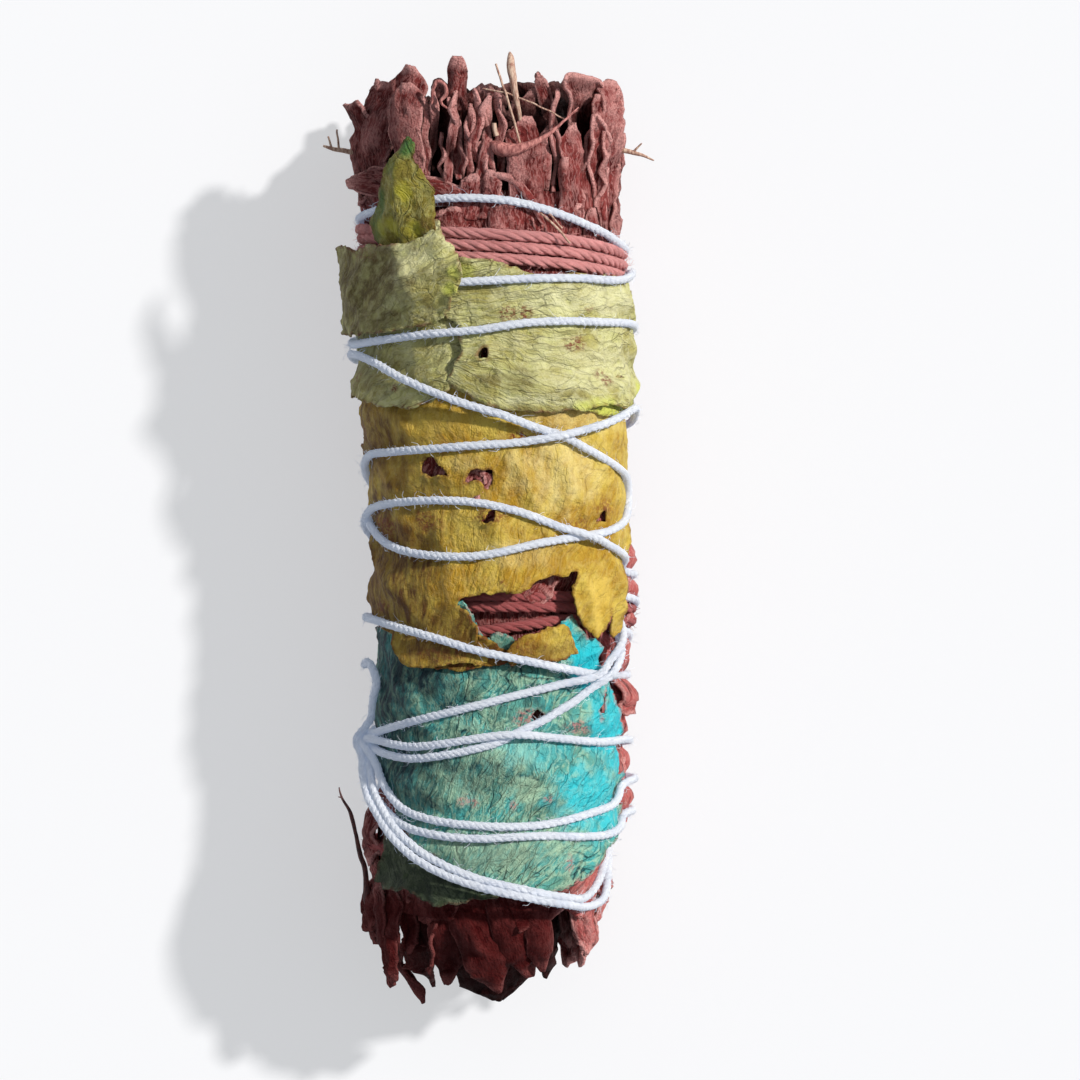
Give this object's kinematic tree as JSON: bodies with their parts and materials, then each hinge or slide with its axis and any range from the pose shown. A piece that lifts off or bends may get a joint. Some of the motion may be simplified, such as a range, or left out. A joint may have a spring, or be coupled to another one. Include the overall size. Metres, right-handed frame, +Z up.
{
  "type": "sage smudge stick",
  "caption": "Bundle of dried sage sprigs wrapped in dyed rose petals and bound with cotton cord, lying on its side.",
  "frame": {"origin": "middle of the flat underside that the stick rests on", "axes": "+Y along the stick towards the end that is at the top of the picture, +X to the right as seen from above, +Z up"},
  "size_m": [0.0375, 0.1048, 0.0321],
  "materials": {
    "sage": "dry, crinkled, dyed leaves",
    "red_cord": "dyed plied cotton, slightly fuzzy",
    "green_petal": "dry, finely veined petal",
    "yellow_petal": "dry, finely veined petal",
    "turquoise_petal": "dry, finely veined petal",
    "dark_petal": "dry, finely veined petal",
    "white_cord": "plied cotton, slightly fuzzy"
  },
  "bodies": {
    "root": {"sage_sprig_under": "sage", "sage_sprig_left_low": "sage", "sage_sprig_left": "sage", "sage_sprig_top_left": "sage", "sage_sprig_top_right": "sage", "sage_sprig_right": "sage", "sage_sprig_right_low": "sage", "sage_sprig_heart": "sage", "red_cord": "red_cord", "green_petal_left": "green_petal", "green_petal_right": "green_petal", "green_petal_low": "green_petal", "yellow_petal": "yellow_petal", "yellow_petal_scrap": "yellow_petal", "turquoise_petal": "turquoise_petal", "dark_green_petal": "dark_petal", "white_cord": "white_cord"}
  },
  "joints": []
}
